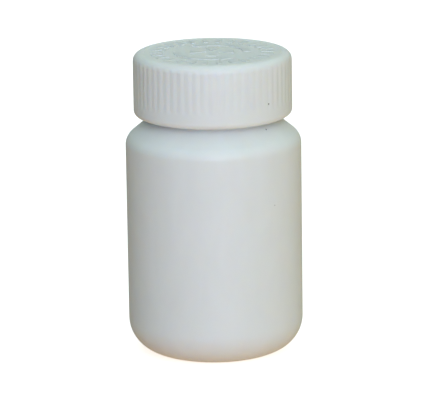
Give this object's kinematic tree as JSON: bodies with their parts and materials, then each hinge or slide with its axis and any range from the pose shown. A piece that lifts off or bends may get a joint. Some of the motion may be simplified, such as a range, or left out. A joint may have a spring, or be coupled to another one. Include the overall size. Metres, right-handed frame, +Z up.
{
  "type": "reagent bottle",
  "caption": "White wide-mouth plastic packer bottle with a push-down-and-turn screw closure for powders, tablets and dry reagents.",
  "frame": {"origin": "centre of the base, on the surface that the bottle stands on", "axes": "+Z up along the bottle's axis, from the base to the cap; +X is where the neck's thread starts"},
  "size_m": [0.0474, 0.0474, 0.0823],
  "materials": {
    "bottle_hdpe": "satin white polyethylene",
    "liner_foil": "bright laminate",
    "liner_board": "unbleached pulp",
    "inner_cap_pp": "moulded white polypropylene",
    "spring_pp": "moulded natural polypropylene",
    "outer_cap_pp": "satin white polypropylene"
  },
  "bodies": {
    "bottle": {"bottle_body": "bottle_hdpe"},
    "lining": {"liner_foil": "liner_foil", "liner_board": "liner_board"},
    "inner_closure": {"inner_cap": "inner_cap_pp"},
    "spring": {"press_spring": "spring_pp"},
    "outer_closure": {"outer_cap": "outer_cap_pp"}
  },
  "joints": [
    {"name": "cap_lift", "type": "slide", "parent": "bottle", "child": "lining", "axis": [0, 0, 1], "range_m": [0, 0.01693]},
    {"name": "cap_turn", "type": "hinge", "parent": "lining", "child": "inner_closure", "pos_m": [0, 0, 0.0725], "axis": [0, 0, 1], "range_deg": [0, 1440]},
    {"name": "cap_freewheel", "type": "hinge", "parent": "inner_closure", "child": "spring", "pos_m": [0, 0, 0.0789], "axis": [0, 0, 1], "continuous": true},
    {"name": "cap_press", "type": "slide", "parent": "spring", "child": "outer_closure", "axis": [0, 0, 1], "range_m": [-0.0011, 0], "stiffness_N_per_m": 10000, "deforming": ["press_spring"]}
  ],
  "couplings": [
    {"joint": "cap_lift", "follows": "cap_turn", "m_per_rad": 0.0006737}
  ]
}
